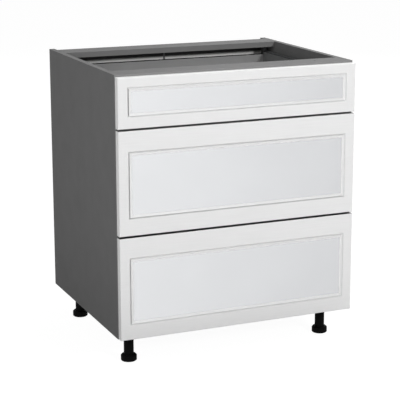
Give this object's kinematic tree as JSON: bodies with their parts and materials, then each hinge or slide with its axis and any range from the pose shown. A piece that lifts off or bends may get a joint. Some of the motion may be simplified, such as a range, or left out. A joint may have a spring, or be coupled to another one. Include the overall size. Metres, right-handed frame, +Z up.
{
  "type": "base cabinet with drawers",
  "caption": "Grey kitchen base cabinet on adjustable legs, open top with rails, white framed drawer fronts on full-extension runners.",
  "frame": {"origin": "centre of the footprint on the floor, under the feet", "axes": "+X to the right of someone facing the drawers, +Y to the wall, +Z up; the drawers open towards -Y"},
  "size_m": [0.7, 0.5806, 0.803],
  "materials": {
    "grey_melamine": "grey melamine-faced chipboard, fine matt texture",
    "back_hardboard": "white lacquered hardboard",
    "grey_plastic": "grey extruded plastic",
    "bumper_rubber": "translucent soft pads",
    "dowel_wood": "plain beech",
    "die_cast_zinc": "bare zinc die casting",
    "zinc_steel": "bright zinc plating",
    "black_plastic": "black moulded plastic, semi-matt",
    "white_front": "white satin foil on fibreboard",
    "cool_centre_panel": "cool pale grey satin facing",
    "drawer_side_steel": "grey powder coat",
    "dark_grey_plastic": "dark grey moulded plastic"
  },
  "bodies": {
    "carcase": {"back_panel_left": "back_hardboard", "back_panel_right": "back_hardboard", "back_strip": "grey_plastic", "bottom_panel": "grey_melamine", "bumpers": "bumper_rubber", "cam_bolts": "zinc_steel", "cam_housings": "die_cast_zinc", "dowels": "dowel_wood", "front_rail": "grey_melamine", "leg_front_left": "black_plastic", "leg_front_right": "black_plastic", "leg_rear_left": "black_plastic", "leg_rear_right": "black_plastic", "leg_screws": "zinc_steel", "rear_rail": "grey_melamine", "runner_cabinet_1": "zinc_steel", "runner_cabinet_2": "zinc_steel", "runner_cabinet_3": "zinc_steel", "side_panel_left": "grey_melamine", "side_panel_right": "grey_melamine"},
    "drawer_1": {"centre_panel_1": "cool_centre_panel", "drawer_back_1": "grey_melamine", "drawer_base_1": "grey_melamine", "drawer_side_1_left": "drawer_side_steel", "drawer_side_1_right": "drawer_side_steel", "front_board_1": "white_front", "front_brackets_1": "zinc_steel", "rear_connectors_1": "dark_grey_plastic", "runner_drawer_1": "zinc_steel"},
    "runner_1_left": {"runner_middle_1_left": "zinc_steel"},
    "runner_1_right": {"runner_middle_1_right": "zinc_steel"},
    "drawer_2": {"centre_panel_2": "cool_centre_panel", "drawer_back_2": "grey_melamine", "drawer_base_2": "grey_melamine", "drawer_side_2_left": "drawer_side_steel", "drawer_side_2_right": "drawer_side_steel", "front_board_2": "white_front", "front_brackets_2": "zinc_steel", "gallery_rails_2": "drawer_side_steel", "rear_connectors_2": "dark_grey_plastic", "runner_drawer_2": "zinc_steel"},
    "runner_2_left": {"runner_middle_2_left": "zinc_steel"},
    "runner_2_right": {"runner_middle_2_right": "zinc_steel"},
    "drawer_3": {"centre_panel_3": "cool_centre_panel", "drawer_back_3": "grey_melamine", "drawer_base_3": "grey_melamine", "drawer_side_3_left": "drawer_side_steel", "drawer_side_3_right": "drawer_side_steel", "front_board_3": "white_front", "front_brackets_3": "zinc_steel", "gallery_rails_3": "drawer_side_steel", "rear_connectors_3": "dark_grey_plastic", "runner_drawer_3": "zinc_steel"},
    "runner_3_left": {"runner_middle_3_left": "zinc_steel"},
    "runner_3_right": {"runner_middle_3_right": "zinc_steel"},
    "foot_front_left": {"foot_front_left": "black_plastic"},
    "foot_front_right": {"foot_front_right": "black_plastic"},
    "foot_rear_left": {"foot_rear_left": "black_plastic"},
    "foot_rear_right": {"foot_rear_right": "black_plastic"}
  },
  "joints": [
    {"name": "drawer_1_slide", "type": "slide", "parent": "carcase", "child": "drawer_1", "axis": [0, -1, 0], "range_m": [0, 0.48]},
    {"name": "runner_1_left_slide", "type": "slide", "parent": "carcase", "child": "runner_1_left", "axis": [0, -1, 0], "range_m": [0, 0.24]},
    {"name": "runner_1_right_slide", "type": "slide", "parent": "carcase", "child": "runner_1_right", "axis": [0, -1, 0], "range_m": [0, 0.24]},
    {"name": "drawer_2_slide", "type": "slide", "parent": "carcase", "child": "drawer_2", "axis": [0, -1, 0], "range_m": [0, 0.48]},
    {"name": "runner_2_left_slide", "type": "slide", "parent": "carcase", "child": "runner_2_left", "axis": [0, -1, 0], "range_m": [0, 0.24]},
    {"name": "runner_2_right_slide", "type": "slide", "parent": "carcase", "child": "runner_2_right", "axis": [0, -1, 0], "range_m": [0, 0.24]},
    {"name": "drawer_3_slide", "type": "slide", "parent": "carcase", "child": "drawer_3", "axis": [0, -1, 0], "range_m": [0, 0.48]},
    {"name": "runner_3_left_slide", "type": "slide", "parent": "carcase", "child": "runner_3_left", "axis": [0, -1, 0], "range_m": [0, 0.24]},
    {"name": "runner_3_right_slide", "type": "slide", "parent": "carcase", "child": "runner_3_right", "axis": [0, -1, 0], "range_m": [0, 0.24]},
    {"name": "foot_front_left_height", "type": "slide", "parent": "carcase", "child": "foot_front_left", "axis": [0, 0, -1], "range_m": [0, 0.02]},
    {"name": "foot_front_right_height", "type": "slide", "parent": "carcase", "child": "foot_front_right", "axis": [0, 0, -1], "range_m": [0, 0.02]},
    {"name": "foot_rear_left_height", "type": "slide", "parent": "carcase", "child": "foot_rear_left", "axis": [0, 0, -1], "range_m": [0, 0.02]},
    {"name": "foot_rear_right_height", "type": "slide", "parent": "carcase", "child": "foot_rear_right", "axis": [0, 0, -1], "range_m": [0, 0.02]}
  ],
  "couplings": [
    {"joint": "runner_1_left_slide", "follows": "drawer_1_slide", "ratio": 0.5},
    {"joint": "runner_1_right_slide", "follows": "drawer_1_slide", "ratio": 0.5},
    {"joint": "runner_2_left_slide", "follows": "drawer_2_slide", "ratio": 0.5},
    {"joint": "runner_2_right_slide", "follows": "drawer_2_slide", "ratio": 0.5},
    {"joint": "runner_3_left_slide", "follows": "drawer_3_slide", "ratio": 0.5},
    {"joint": "runner_3_right_slide", "follows": "drawer_3_slide", "ratio": 0.5}
  ]
}
